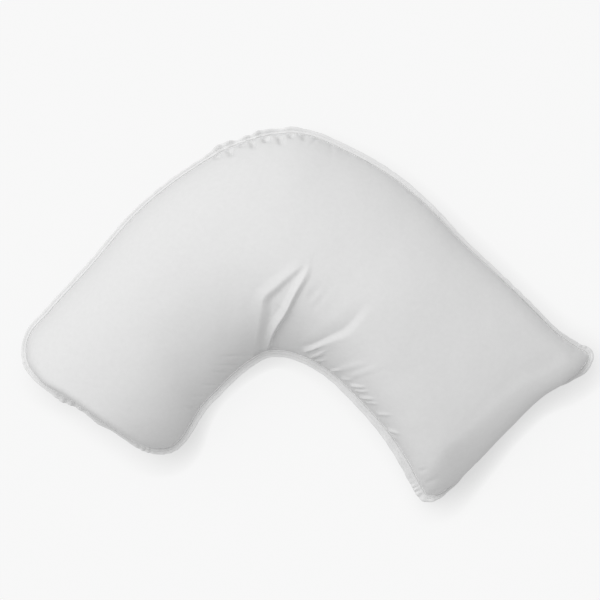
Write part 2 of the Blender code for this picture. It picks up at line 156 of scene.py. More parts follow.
# Pleats of the top panel where it is bent. Walking along a pleat's crest, the panel rises to it
# on the left over "before", falls on the right over "fall", and comes back over "after". Rise
# and drop are heights over and under the plain panel.
PleatPoint = namedtuple("PleatPoint", "x y rise drop before fall after")
PLEATS = {
    "upper pleat": (
        PleatPoint(-0.0680, -0.0466, 0.0000, 0.0020, 0.012, 0.010, 0.040),
        PleatPoint(-0.0655, -0.0264, 0.0004, 0.0034, 0.014, 0.012, 0.045),
        PleatPoint(-0.0624, -0.0067, 0.0008, 0.0032, 0.015, 0.014, 0.045),
        PleatPoint(-0.0594, 0.0066, 0.0018, 0.0028, 0.016, 0.014, 0.040),
        PleatPoint(-0.0566, 0.0212, 0.0034, 0.0022, 0.015, 0.012, 0.035),
        PleatPoint(-0.0382, 0.0388, 0.0042, 0.0010, 0.014, 0.010, 0.030),
        PleatPoint(-0.0158, 0.0572, 0.0026, 0.0004, 0.013, 0.008, 0.024),
        PleatPoint(-0.0030, 0.0660, 0.0000, 0.0000, 0.012, 0.005, 0.020),
    ),
    "main pleat": (
        PleatPoint(-0.0529, -0.0482, 0.0016, 0.0024, 0.006, 0.006, 0.030),
        PleatPoint(-0.0488, -0.0344, 0.0040, 0.0034, 0.007, 0.005, 0.024),
        PleatPoint(-0.0454, -0.0251, 0.0052, 0.0030, 0.008, 0.005, 0.024),
        PleatPoint(-0.0415, -0.0162, 0.0064, 0.0020, 0.009, 0.006, 0.024),
        PleatPoint(-0.0353, -0.0060, 0.0070, 0.0012, 0.009, 0.006, 0.024),
        PleatPoint(-0.0296, 0.0024, 0.0072, 0.0004, 0.009, 0.007, 0.024),
        PleatPoint(-0.0152, 0.0296, 0.0062, 0.0000, 0.009, 0.008, 0.024),
        PleatPoint(-0.0023, 0.0521, 0.0030, 0.0000, 0.008, 0.009, 0.030),
        PleatPoint(0.0034, 0.0656, 0.0000, 0.0003, 0.006, 0.006, 0.030),
    ),
    "long pleat": (
        PleatPoint(0.0892, 0.0147, 0.0000, 0.0000, 0.012, 0.012, 0.020),
        PleatPoint(0.0788, 0.0000, 0.0002, 0.0012, 0.015, 0.012, 0.022),
        PleatPoint(0.0683, -0.0134, 0.0004, 0.0026, 0.018, 0.012, 0.024),
        PleatPoint(0.0529, -0.0286, 0.0004, 0.0034, 0.018, 0.012, 0.024),
        PleatPoint(0.0355, -0.0346, 0.0010, 0.0030, 0.014, 0.009, 0.024),
        PleatPoint(0.0189, -0.0402, 0.0018, 0.0022, 0.010, 0.006, 0.016),
        PleatPoint(-0.0020, -0.0452, 0.0012, 0.0014, 0.006, 0.004, 0.008),
        PleatPoint(-0.0100, -0.0468, 0.0000, 0.0000, 0.006, 0.004, 0.008),
    ),
}

# Gathers of the top panel, each from its end at the seam to its end on the panel. A furrow has a
# height below zero.
GATHER_START = 0.2              # share of its length over which a gather rises at the seam
GATHER_END = 0.6                # share of its length over which it dies out
Gather = namedtuple("Gather", "x y end_x end_y height width")
GATHERS = (
    Gather(-0.0060, -0.0495, 0.0250, -0.0385, 0.0022, 0.0028),
    Gather(0.0020, -0.0568, 0.0290, -0.0486, 0.0028, 0.0036),
    Gather(0.0100, -0.0606, 0.0280, -0.0596, 0.0024, 0.0026),
    Gather(0.0290, -0.0738, 0.0500, -0.0718, 0.0024, 0.0028),
    Gather(0.0560, -0.0930, 0.0800, -0.0950, 0.0026, 0.0030),
    Gather(0.0600, -0.0995, 0.0840, -0.1010, 0.0022, 0.0026),
    Gather(0.0670, -0.1085, 0.0930, -0.1110, 0.0026, 0.0030),
    Gather(0.0750, -0.1150, 0.0970, -0.1165, 0.0020, 0.0026),
    Gather(0.0910, -0.1305, 0.1140, -0.1310, 0.0018, 0.0026),
    Gather(0.1060, -0.1515, 0.1250, -0.1570, 0.0024, 0.0028),
    Gather(0.1090, -0.1595, 0.1220, -0.1640, 0.0018, 0.0024),
    Gather(0.0380, -0.0740, 0.0860, -0.0590, 0.0009, 0.0065),
    Gather(0.0530, -0.0830, 0.1060, -0.0620, 0.0008, 0.0065),
    Gather(0.0000, 0.0160, 0.0240, 0.0460, -0.0008, 0.0080),
    Gather(0.0060, 0.0040, 0.0320, 0.0390, -0.0006, 0.0080),
    Gather(-0.0110, -0.0480, 0.0230, -0.0330, -0.0007, 0.0022),
    Gather(-0.0060, -0.0520, 0.0300, -0.0385, -0.0007, 0.0020),
    Gather(0.0040, -0.0545, 0.0330, -0.0440, 0.0016, 0.0022),
    Gather(0.0070, -0.0590, 0.0260, -0.0530, -0.0008, 0.0020),
    Gather(0.0300, -0.0770, 0.0430, -0.0765, 0.0018, 0.0024),
    Gather(0.0440, -0.0850, 0.0620, -0.0850, 0.0018, 0.0026),
    Gather(-0.0720, -0.0550, -0.1200, -0.0544, -0.0014, 0.0030),
    Gather(-0.0840, -0.0670, -0.1250, -0.0658, -0.0013, 0.0030),
    Gather(-0.0960, -0.0760, -0.1300, -0.0750, -0.0012, 0.0030),
    Gather(-0.1120, -0.0930, -0.1450, -0.0920, -0.0012, 0.0032),
    Gather(-0.1300, -0.1080, -0.1600, -0.1060, -0.0009, 0.0030),
    Gather(-0.1420, -0.1240, -0.1720, -0.1210, -0.0009, 0.0030),
    Gather(-0.1180, 0.2130, -0.1140, 0.2040, -0.0036, 0.0080),
    Gather(-0.1020, 0.2210, -0.0960, 0.2060, -0.0052, 0.0082),
    Gather(-0.0860, 0.2280, -0.0830, 0.2190, -0.0040, 0.0074),
    Gather(-0.0720, 0.2320, -0.0680, 0.2150, -0.0042, 0.0066),
    Gather(-0.0530, 0.2360, -0.0515, 0.2240, -0.0050, 0.0086),
    Gather(-0.0350, 0.2390, -0.0330, 0.2190, -0.0046, 0.0074),
    Gather(-0.0200, 0.2400, -0.0195, 0.2300, -0.0034, 0.0068),
    Gather(-0.0040, 0.2400, -0.0020, 0.2270, -0.0026, 0.0070),
    Gather(0.1480, -0.2080, 0.1610, -0.2010, -0.0010, 0.0030),
    Gather(0.1560, -0.2250, 0.1810, -0.2120, -0.0010, 0.0040),
    Gather(0.1600, -0.2340, 0.1760, -0.2260, 0.0006, 0.0026),
    Gather(0.1640, -0.2400, 0.1830, -0.2290, -0.0008, 0.0028),
)

# Width of the sewn edge and how far it droops, in degrees, from place to place. A place on a
# side is a section's number, and on an end it is the share of the way across.
EdgeStation = namedtuple("EdgeStation", "side place width droop")
EDGE_STATIONS = (
    EdgeStation("outer", 0.0, 0.0068, 15),
    EdgeStation("outer", 3.0, 0.0068, 12),
    EdgeStation("outer", 4.4, 0.0062, 10),
    EdgeStation("outer", 5.2, 0.0062, 8),
    EdgeStation("outer", 6.5, 0.0072, 5),
    EdgeStation("outer", 8.0, 0.0078, 5),
    EdgeStation("outer", 11.0, 0.0058, 12),
    EdgeStation("outer", 14.0, 0.0052, 12),
    EdgeStation("outer", 15.3, 0.0070, 10),
    EdgeStation("right", 0.06, 0.0085, 20),
    EdgeStation("right", 0.25, 0.0080, 45),
    EdgeStation("right", 0.50, 0.0080, 60),
    EdgeStation("right", 0.78, 0.0080, 60),
    EdgeStation("right", 0.92, 0.0060, 62),
    EdgeStation("right", 0.98, 0.0080, 18),
    EdgeStation("inner", 15.8, 0.0110, 12),
    EdgeStation("inner", 15.0, 0.0115, 14),
    EdgeStation("inner", 14.0, 0.0120, 12),
    EdgeStation("inner", 12.0, 0.0092, 10),
    EdgeStation("inner", 9.0, 0.0082, -14),
    EdgeStation("inner", 6.0, 0.0088, -16),
    EdgeStation("inner", 2.0, 0.0080, -4),
    EdgeStation("left", 0.90, 0.0080, -6),
    EdgeStation("left", 0.70, 0.0066, 2),
    EdgeStation("left", 0.40, 0.0082, 10),
    EdgeStation("left", 0.15, 0.0078, 12),
)

# Scallops where the edge is puckered: middle, half length, extra width, lift
Scallop = namedtuple("Scallop", "side place half_length width lift")
SCALLOPS = (
    Scallop("outer", 5.62, 0.026, 0.0040, 0.003),
    Scallop("outer", 6.32, 0.019, 0.0030, 0.004),
    Scallop("outer", 6.85, 0.018, 0.0015, 0.002),
    Scallop("left", 0.36, 0.026, 0.0040, 0.004),
    Scallop("left", 0.62, 0.020, 0.0025, 0.002),
)

# Where the edge is rumpled, with short wrinkles across it
Rumple = namedtuple("Rumple", "side place half_length pitch height")
RUMPLES = (
    Rumple("outer", 5.9, 0.085, 0.0185, 0.0030),
    Rumple("outer", 15.6, 0.030, 0.0080, 0.0007),
    Rumple("inner", 15.5, 0.034, 0.0075, 0.0013),
    Rumple("inner", 0.6, 0.026, 0.0090, 0.0012),
    Rumple("left", 0.93, 0.026, 0.0085, 0.0013),
    Rumple("left", 0.42, 0.044, 0.0140, 0.0022),
    Rumple("left", 0.05, 0.024, 0.0090, 0.0009),
)

# Small gathers that run in from the seam all round: the least and the most of each of these
GATHER_SPACING = (0.55, 1.45)   # share of the average spacing
GATHER_REACH = (0.014, 0.034)   # how far it runs in
GATHER_WIDTH = (0.0022, 0.0048)
GATHER_LEAN = (-0.35, 0.35)     # how far it leans along the seam, to its distance from it
GATHER_DEPTH = (0.3, 1.3)       # share of the average depth
GATHER_FADE = 0.004             # they die out over this distance from the seam
GATHER_SEED = 11

# How strongly the cover is gathered at the seam, from place to place
GatherZone = namedtuple("GatherZone", "side place strength")
GATHER_ZONES = (
    GatherZone("outer", 0.0, 0.8),
    GatherZone("outer", 4.0, 0.4),
    GatherZone("outer", 5.4, 1.5),
    GatherZone("outer", 7.2, 1.4),
    GatherZone("outer", 8.2, 0.4),
    GatherZone("outer", 14.0, 0.4),
    GatherZone("right", 0.0, 0.9),
    GatherZone("right", 0.5, 0.6),
    GatherZone("right", 1.0, 1.0),
    GatherZone("inner", 14.0, 0.7),
    GatherZone("inner", 12.5, 1.2),
    GatherZone("inner", 9.5, 1.2),
    GatherZone("inner", 7.5, 0.5),
    GatherZone("inner", 4.0, 0.7),
    GatherZone("inner", 0.0, 0.8),
    GatherZone("left", 0.6, 0.9),
    GatherZone("left", 0.2, 1.1),
)

# Uneven waves of the sewn edge: their height, and about how many there are all round
Wave = namedtuple("Wave", "height count")
WIDTH_WAVE = Wave(0.0005, 90)
LIFT_WAVE = Wave(0.0008, 60)
WRINKLE_WAVE = Wave(0.5, 40)    # moves the wrinkles of a rumpled stretch, by a share of one
WRINKLE_WIDTH = 0.25            # share of a wrinkle's height by which it widens the edge
WAVE_SEED = 5
EDGE_ROWS = 60                  # rows across the pillow where the edge's seam is worked out

STITCH_LINE = 0.42              # share of the edge's width where it is sewn
STITCH_DEPTH = 0.30             # share of its half thickness there

# Cross section of the sewn edge: share of its width, share of its half thickness
EdgePoint = namedtuple("EdgePoint", "across thick")
EDGE_SECTION = (
    EdgePoint(0.00, 0.45),
    EdgePoint(0.10, 0.80),
    EdgePoint(0.24, 0.88),
    EdgePoint(0.34, 0.66),
    EdgePoint(STITCH_LINE, STITCH_DEPTH),
    EdgePoint(0.50, 0.66),
    EdgePoint(0.60, 1.00),
    EdgePoint(0.78, 1.10),
    EdgePoint(0.92, 0.90),
    EdgePoint(0.98, 0.50),
)
EDGE_GAP = 0.0004               # from the seam to the sewn edge

STITCH_SIDES = 6                # faces round a stitch
STITCH_RINGS = 6                # rings of points along it
STITCH_TAPER = 0.92             # how much it thins to its ends, up to 1
STITCH_RISE = 0.9               # how far its middle stands out, in thread radii
STITCH_DIP = 1.3                # how much lower its ends are, in thread radii

# Finish of each cotton: size and height of its unevenness from handling, and its sheen
Finish = namedtuple("Finish", "handle_size handle_height sheen")
COVER_FINISH = Finish(0.030, 0.0008, 0.12)
EDGE_FINISH = Finish(0.012, 0.0004, 0.12)
THREAD_FINISH = Finish(0.002, 0.00005, 0.05)
FINE_HANDLING = 5.0             # how many times finer the handling's small unevenness is
FINE_SHARE = 0.2                # and its share of the height
THREAD_RELIEF = 0.12            # height of the weave's threads, as a share of their spacing
SHADE_SPREAD = 0.03             # how far the cloth's shade varies to either side

FLOOR_SIZE = 12.0

# The camera looks straight down. The view's width is measured at the seam's height.
VIEW_WIDTH = 0.7965
VIEW_MIDDLE = (-0.01112, 0.01988)
SENSOR_WIDTH = 36.0             # millimetres
SEAM_LEVEL = 0.050


class PillowShape(bpy.types.PropertyGroup):
    """Sizes of the filled cover and its sewn edge."""
    column_detail: bpy.props.IntProperty(
        name="Column detail", description="Columns of faces for each one in the sections' table",
        default=1, min=1, max=3)
    panel_rows: bpy.props.IntProperty(
        name="Rows", description="Rows of faces from the outer seam to the inner one",
        default=180, min=18, max=300)
    under_step: bpy.props.IntProperty(
        name="Underside step", description="Columns and rows of the top to one of the underside",
        default=3, min=1, max=6)
    loft: bpy.props.FloatProperty(
        name="Loft", description="Share of the crown's height", default=1.0, min=0.5, max=1.2)
    rest_blend: bpy.props.FloatProperty(
        name="Resting bend", description="Softness of the bend where the cover meets the floor",
        default=0.009, unit="LENGTH")
    lump_height: bpy.props.FloatProperty(
        name="Lumps", description="Height of the soft lumps of the filling",
        default=0.0010, unit="LENGTH")
    gather_depth: bpy.props.FloatProperty(
        name="Gathers", description="Depth of the small gathers along the seam",
        default=0.0010, unit="LENGTH")
    gather_pitch: bpy.props.FloatProperty(
        name="Gather spacing", description="Average distance between gathers",
        default=0.0145, unit="LENGTH")
    edge_thickness: bpy.props.FloatProperty(
        name="Edge thickness", description="Two turned layers of cloth, stitched flat",
        default=0.0022, unit="LENGTH")
    edge_spacing: bpy.props.FloatProperty(
        name="Edge spacing", description="Length of the sewn edge's faces along the seam",
        default=0.0016, unit="LENGTH")
    stitch_length: bpy.props.FloatProperty(
        name="Stitch", description="Length of one stitch", default=0.0024, unit="LENGTH")
    stitch_pitch: bpy.props.FloatProperty(
        name="Stitch spacing", description="From one stitch to the next",
        default=0.0032, unit="LENGTH")
    thread_radius: bpy.props.FloatProperty(
        name="Thread radius", description="Radius of the sewing thread",
        default=0.00022, unit="LENGTH")


class PillowCloth(bpy.types.PropertyGroup):
    """Colours and weave of the cotton."""
    cover_color: bpy.props.FloatVectorProperty(
        name="Cover", description="Colour of the cover's cotton", subtype="COLOR", size=3,
        default=(0.72, 0.72, 0.72), min=0.0, max=1.0)
    edge_color: bpy.props.FloatVectorProperty(
        name="Edge", description="Colour of the sewn edge", subtype="COLOR", size=3,
        default=(0.75, 0.75, 0.75), min=0.0, max=1.0)
    thread_color: bpy.props.FloatVectorProperty(
        name="Thread", description="Colour of the sewing thread", subtype="COLOR", size=3,
        default=(0.78, 0.78, 0.78), min=0.0, max=1.0)
    weave_pitch: bpy.props.FloatProperty(
        name="Thread spacing", description="Distance between threads of the weave",
        default=0.00032, unit="LENGTH", precision=5)


class PillowStage(bpy.types.PropertyGroup):
    """Floor with its painted shadow, light and camera."""
    camera_height: bpy.props.FloatProperty(
        name="Camera height", description="Height of the camera over the floor",
        default=3.3, unit="LENGTH")
    key_strength: bpy.props.FloatProperty(
        name="Key light", description="Strength of the soft light from the upper left",
        default=1.67)
    key_tilt: bpy.props.FloatProperty(
        name="Key tilt", description="Angle of the key light from straight above",
        default=math.radians(37), subtype="ANGLE")
    key_turn: bpy.props.FloatProperty(
        name="Key turn", description="Direction of the key light in plan, from +X",
        default=math.radians(139), subtype="ANGLE")
    key_softness: bpy.props.FloatProperty(
        name="Key softness", description="Width of the key light as seen from the pillow",
        default=math.radians(50), subtype="ANGLE")
    sky_strength: bpy.props.FloatProperty(
        name="Fill light", description="Strength of the even light from all round",
        default=0.60)
    floor_color: bpy.props.FloatVectorProperty(
        name="Floor", description="Colour of the floor", subtype="COLOR", size=3,
        default=(0.06, 0.06, 0.06), min=0.0, max=1.0)
    floor_glow: bpy.props.FloatProperty(
        name="Floor glow", description="Light of the open floor's own", default=0.875)
    # The floor's painted shadow: its glow close under the pillow, how far it reaches, and which
    # way it leans from the light.
    shade_glow: bpy.props.FloatProperty(
        name="Shaded glow", description="Light of the floor's own close under the pillow",
        default=0.46)
    bounce: bpy.props.FloatProperty(
        name="Bounce", description="Light that the floor throws up at the pillow", default=0.56)
    shade_reach: bpy.props.FloatProperty(
        name="Shade reach", description="How far the shade reaches out on the floor",
        default=0.046, unit="LENGTH")
    shade_tilt: bpy.props.FloatProperty(
        name="Shade tilt", description="How far the shade leans away from the light",
        default=math.radians(75), subtype="ANGLE")
    shade_turn: bpy.props.FloatProperty(
        name="Shade turn", description="Direction in plan of the open side, from +X",
        default=math.radians(150), subtype="ANGLE")


def smoothstep(value):
    """Ease from 0 to 1."""
    share = np.clip(value, 0.0, 1.0)
    return share * share * (3.0 - 2.0 * share)


def read_curve(points, places, closed):
    """Read a smooth curve through the points at the given places, 0 being the first point."""
    points = np.asarray(points, dtype=float)
    count = len(points)
    if closed:
        step = np.roll(points, -1, axis=0) - points
    else:
        step = np.vstack((points[1:] - points[:-1], points[-1:] - points[-2:-1]))
    reach = np.linalg.norm(step[:, :2], axis=1)
    slope = step / reach[:, None]
    reach_before = np.roll(reach, 1)
    slope_before = np.roll(slope, 1, axis=0)
    if not closed:
        slope_before[0] = slope[0]
    total = (reach + reach_before)[:, None]
    tangent = (slope * reach_before[:, None] + slope_before * reach[:, None]) / total

    places = np.asarray(places, dtype=float)
    first = np.floor(places).astype(int)
    if not closed:
        first = np.clip(first, 0, count - 2)
    share = (places - first)[:, None]
    first = first % count
    last = (first + 1) % count
    span = reach[first][:, None]
    return ((1 + 2 * share) * (1 - share) ** 2 * points[first]
            + share * (1 - share) ** 2 * span * tangent[first]
            + share ** 2 * (3 - 2 * share) * points[last]
            - share ** 2 * (1 - share) * span * tangent[last])


def column_places(detail):
    """Section numbers of the columns, closer together at the two ends."""
    places = []
    final = len(SECTIONS) - 2
    for number, section in enumerate(SECTIONS[:-1]):
        columns = section.columns * detail
        for step in range(columns):
            share = step / columns
            if number == 0:
                share = 1.0 - math.cos(0.5 * math.pi * share)
            elif number == final:
                share = math.sin(0.5 * math.pi * share)
            places.append(number + share)
    places.append(len(SECTIONS) - 1.0)
    return np.array(places)


def row_shares(count):
    """Shares of the way across, closer together at the two seams."""
    even = np.linspace(0.0, 1.0, count + 1)
    return even - ROW_CROWDING * np.sin(2.0 * math.pi * even) / (2.0 * math.pi)


def seam_loop():
    """All seam points in one loop: outer side, right end, inner side, left end."""
    outer = [(row.outer_x, row.outer_y, row.seam) for row in SECTIONS]
    inner = [(row.inner_x, row.inner_y, row.seam) for row in reversed(SECTIONS)]
    right = [(point.x, point.y, point.seam) for point in RIGHT_END]
    left = [(point.x, point.y, point.seam) for point in reversed(LEFT_END)]
    loop = np.array(outer + right + inner + left)
    loop[:, 0] -= MIDDLE[0]
    loop[:, 1] -= MIDDLE[1]
    return loop


def end_places(loop, first, last, shares):
    """Places between two numbers of the loop, at even shares of the length between them."""
    numbers = np.arange(first, last + 1)
    stretch = loop[numbers % len(loop), :2]
    reach = np.concatenate(([0.0], np.cumsum(np.linalg.norm(np.diff(stretch, axis=0), axis=1))))
    return np.interp(shares * reach[-1], reach, numbers)


def seam_surface(columns, rows):
    """A smooth sheet spanned by the whole seam, as columns and rows of points."""
    loop = seam_loop()
    last = len(SECTIONS) - 1
    inner_start = last + len(RIGHT_END) + 1
    left_start = inner_start + last
    outer = read_curve(loop, columns, True)
    inner = read_curve(loop, inner_start + last - columns, True)
    right = read_curve(loop, end_places(loop, last, inner_start, rows), True)
    left_places = end_places(loop, left_start, len(loop), 1.0 - rows)
    left = read_curve(loop, left_places, True)

    across = rows[None, :, None]
    ruled = (1 - across) * outer[:, None] + across * inner[:, None]
    near_left = (1 - smoothstep(columns / END_SECTIONS))[:, None, None]
    near_right = (1 - smoothstep((last - columns) / END_SECTIONS))[:, None, None]
    return (ruled + near_left * (left - ruled[0])[None]
            + near_right * (right - ruled[-1])[None])


def lengths_along(panel, axis, flat):
    """Distance of every point from the panel's first column or row, in plan or over its crown."""
    points = panel[..., :2] if flat else panel
    steps = np.linalg.norm(np.diff(points, axis=axis), axis=2)
    total = np.cumsum(steps, axis=axis)
    start = np.zeros_like(np.take(total, [0], axis=axis))
    return np.concatenate((start, total), axis=axis)


def nearest_on_line(line, x, y):
    """For each place in plan, how far it lies to the right of a line, and where along it."""
    places = np.linspace(0.0, len(line) - 1.0, PLEAT_STEPS * len(line))
    points = read_curve(line, places, False)
    nearest = np.full(x.shape, np.inf)
    side = np.zeros(x.shape)
    along = np.zeros(x.shape)
    for number in range(len(points) - 1):
        start = points[number]
        run = points[number + 1] - start
        length = np.hypot(run[0], run[1])
        share = ((x - start[0]) * run[0] + (y - start[1]) * run[1]) / length ** 2
        share = np.clip(share, 0.0, 1.0)
        off_x = x - start[0] - share * run[0]
        off_y = y - start[1] - share * run[1]
        distance = np.hypot(off_x, off_y)
        place = places[number] + share * (places[number + 1] - places[number])
        closer = distance < nearest
        nearest = np.where(closer, distance, nearest)
        side = np.where(closer, np.sign(run[1] * off_x - run[0] * off_y), side)
        along = np.where(closer, place, along)
    return nearest * side, along


def pleat_relief(pleat, x, y):
    """Height that one pleat adds at each place in plan."""
    line = np.array([(point.x - MIDDLE[0], point.y - MIDDLE[1]) for point in pleat])
    offset, along = nearest_on_line(line, x, y)
    rise, drop, before, fall, after = [
        np.interp(along, np.arange(len(pleat)), [getattr(point, name) for point in pleat])
        for name in PleatPoint._fields[2:]]
    relief = np.zeros(x.shape)
    for shift in PLEAT_SHIFTS:
        place = offset + shift * PLEAT_ROUND
        climb = rise * np.clip(1.0 + place / before, 0.0, 1.0) ** PLEAT_CLIMB
        down = rise - (rise + drop) * smoothstep(place / fall)
        back = -drop * np.clip(1.0 - (place - fall) / after, 0.0, 1.0) ** 2
        height = np.where(place < 0.0, climb, np.where(place < fall, down, back))
        relief += height / len(PLEAT_SHIFTS)
    return relief


def gather_relief(gather, x, y):
    """Height that one gather adds at each place in plan: full near the seam, then less."""
    run_x = gather.end_x - gather.x
    run_y = gather.end_y - gather.y
    length = math.hypot(run_x, run_y)
    from_x = x + MIDDLE[0] - gather.x
    from_y = y + MIDDLE[1] - gather.y
    share = (from_x * run_x + from_y * run_y) / length ** 2
    off = (from_x * run_y - from_y * run_x) / length
    profile = np.clip(1.0 - (off / gather.width) ** 2, 0.0, 1.0) ** 2
    start = smoothstep(share / GATHER_START)
    end = smoothstep((1.0 - share) / GATHER_END)
    return gather.height * profile * start * end


def rim_points(sheet):
    """The seam's points in order, once round."""
    return np.vstack((sheet[:-1, 0], sheet[-1, :-1], sheet[:0:-1, -1], sheet[0, :0:-1]))


def rim_place(side, place, columns, rows):
    """Number of the seam point, counted as rim_points does, at a place on one side."""
    last_column = len(columns) - 1
    last_row = len(rows) - 1
    if side == "outer":
        return np.interp(place, columns, np.arange(len(columns)))
    if side == "right":
        return last_column + np.interp(place, rows, np.arange(len(rows)))
    if side == "inner":
        return 2 * last_column + last_row - np.interp(place, columns, np.arange(len(columns)))
    return 2 * last_column + 2 * last_row - np.interp(place, rows, np.arange(len(rows)))


def rim_lengths(seam):
    """Distance round the seam of every seam point, and of the first one again at the end."""
    reach = np.linalg.norm(np.roll(seam, -1, axis=0) - seam, axis=1)
    return np.concatenate(([0.0], np.cumsum(reach)))


def rim_values(table, value, around, columns, rows):
    """A table's value at every seam point, eased between the table's places."""
    numbers = np.arange(len(around))
    stations = sorted(
        (np.interp(rim_place(row.side, row.place, columns, rows), numbers, around),
         getattr(row, value)) for row in table)
    places, values = zip(*stations)
    return np.interp(around[:-1], places, values, period=around[-1])


def side_gathers(panel, seam_run, strength, shape, rng):
    """Small troughs that run in from one side of a panel, whose first row is that side."""
    distance = lengths_along(panel, 1, False)
    relief = np.zeros(distance.shape)
    place = 0.0
    while place < seam_run[-1]:
        place += shape.gather_pitch * rng.uniform(*GATHER_SPACING)
        reach = rng.uniform(*GATHER_REACH)
        width = rng.uniform(*GATHER_WIDTH)
        lean = rng.uniform(*GATHER_LEAN)
        deep = shape.gather_depth * rng.uniform(*GATHER_DEPTH)
        deep = deep * np.interp(place, seam_run, strength)
        off = (seam_run[:, None] - place - lean * distance) / width
        relief -= deep * np.exp(-off ** 2) * np.exp(-(distance / reach) ** 2)
    return relief * smoothstep(distance / GATHER_FADE)


def seam_gathers(panel, columns, rows, shape, rng):
    """The small gathers all round one panel."""
    seam = rim_points(panel)
    around = rim_lengths(seam)
    strength = rim_values(GATHER_ZONES, "strength", around, columns, rows)
    strength = np.append(strength, strength[0])
    last_column = len(columns) - 1
    last_row = len(rows) - 1
    corners = np.cumsum((0, last_column, last_row, last_column, last_row))
    turned = panel.transpose(1, 0, 2)
    views = (panel, turned[:, ::-1], panel[::-1, ::-1], turned[::-1])
    parts = []
    for view, first, last in zip(views, corners[:-1], corners[1:]):
        run = around[first:last + 1] - around[first]
        parts.append(side_gathers(view, run, strength[first:last + 1], shape, rng))
    outer, right, inner, left = parts
    return outer + right[:, ::-1].T + inner[::-1, ::-1] + left[::-1].T


def filling_lumps(panel, height, start):
    """Soft uneven swells of the filling."""
    relief = np.zeros(panel.shape[:2])
    shift = Vector((start, 0.0, 0.0))
    for lump in LUMPS:
        values = [noise.noise(Vector(point) * lump.frequency + shift)
                  for point in panel.reshape(-1, 3)]
        relief += lump.share * height * np.array(values).reshape(relief.shape)
    return relief


def panel_normals(panel):
    """Unit normals of a sheet of points, pointing up."""
    ahead = np.gradient(panel, axis=0)
    across = np.gradient(panel, axis=1)
    normals = np.cross(across, ahead)
    return normals / np.maximum(np.linalg.norm(normals, axis=2, keepdims=True), TINY)


def table_values(table, name, places):
    """A column of a table at the given places, on a smooth curve."""
    stations = [row.place for row in table]
    points = np.array([(row.place, getattr(row, name)) for row in table], dtype=float)
    numbers = np.interp(places, stations, np.arange(len(table)))
    return read_curve(points, numbers, False)[:, 1]


def crown_swell(sheet, columns, rows):
    """Height of the crown over the seam's sheet."""
    crown, crest, flatness, outer, inner = [
        table_values(FORMS, name, columns)[:, None] for name in Form._fields[1:]]
    across = 2.0 * rows[None, :] - 1.0
    across = np.clip(across - crest * (1.0 - across ** 2), -1.0, 1.0)
    side = smoothstep((across + 0.5 * CREST_BLEND) / CREST_BLEND)
    steepness = outer + (inner - outer) * side
    arch = (1.0 - np.abs(across) ** flatness) ** steepness

    from_left = lengths_along(sheet, 0, True)
    from_right = from_left[-1] - from_left
    left, right, right_steepness = [
        table_values(FALLS, name, rows)[None, :] for name in ("left", "right", "steepness")]
    left_fall = 1.0 - np.clip(from_left / left, 0.0, 1.0)
    right_fall = 1.0 - np.clip(from_right / right, 0.0, 1.0)
    return (crown * arch * (1.0 - left_fall ** 2) ** LEFT_STEEPNESS
            * (1.0 - right_fall ** 2) ** right_steepness)


def bulge_ends(top, sheet, rows):
    """Push the top panel out over the seam at its two ends."""
    from_left = lengths_along(sheet, 0, True)
    from_right = from_left[-1] - from_left
    ends = (("right_bulge", from_right, sheet[-1] - sheet[-1 - BULGE_COLUMNS]),
            ("left_bulge", from_left, sheet[0] - sheet[BULGE_COLUMNS]))
    for name, distance, run in ends:
        depth = distance / BULGE_DEPTH
        bulge = table_values(FALLS, name, rows)[None, :] * depth * np.exp(1.0 - depth)
        run[0] = run[1]
        run[-1] = run[-2]
        outward = run[:, :2] / np.linalg.norm(run[:, :2], axis=1, keepdims=True)
        top[..., :2] += bulge[..., None] * outward[None]


def panel_relief(panel, columns, rows, shape, lumps, pleated, rng):
    """Height that lumps, pleats and gathers add to a panel; none at the seam itself."""
    over_columns = lengths_along(panel, 0, False)
    over_rows = lengths_along(panel, 1, False)
    seam_distance = np.minimum(np.minimum(over_columns, over_columns[-1] - over_columns),
                               np.minimum(over_rows, over_rows[:, -1:] - over_rows))
    relief = filling_lumps(panel, shape.lump_height, lumps)
    if pleated:
        for pleat in PLEATS.values():
            relief += pleat_relief(pleat, panel[..., 0], panel[..., 1])
        for gather in GATHERS:
            relief += gather_relief(gather, panel[..., 0], panel[..., 1])
    relief *= smoothstep(seam_distance / SEAM_FADE)
    relief += seam_gathers(panel, columns, rows, shape, rng)
    relief[seam_distance <= 0.0] = 0.0
    return relief


def rest_on_floor(panel, blend):
    """Flatten a panel where it reaches the floor, with a soft bend all round that place."""
    height = panel[..., 2]
    settled = np.where(height < -blend, 0.0, (height + blend) ** 2 / (4 * blend))
    panel[..., 2] = np.where(height > blend, height, settled)


def cover_panels(shape):
    """The top and bottom panels, as columns and rows of points that share their rim."""
    columns = column_places(shape.column_detail)
    rows = row_shares(shape.panel_rows)
    sheet = seam_surface(columns, rows)
    swell = shape.loft * crown_swell(sheet, columns, rows)

    top = sheet.copy()
    top[..., 2] += swell
    bulge_ends(top, sheet, rows)
    bottom = sheet.copy()
    bottom[..., 2] -= swell

    rng = np.random.default_rng(GATHER_SEED)
    relief = panel_relief(top, columns, rows, shape, TOP_LUMPS, True, rng)
    top += relief[..., None] * panel_normals(top)
    relief = panel_relief(bottom, columns, rows, shape, BOTTOM_LUMPS, False, rng)
    bottom -= relief[..., None] * panel_normals(bottom)
    rest_on_floor(bottom, shape.rest_blend)
    return top, bottom


def grid_faces(numbers):
    """Faces of a grid of point numbers."""
    corners = (numbers[:-1, :-1], numbers[:-1, 1:], numbers[1:, 1:], numbers[1:, :-1])
    return np.stack([corner.ravel() for corner in corners], axis=1)


def coarse_marks(count, step):
    """Every so many of the numbers from 0 to count - 1, with the last one."""
    last = count - 1
    marks = list(range(0, last, step))
    if last - marks[-1] < step / 2:
        marks.pop()
    return marks + [last]


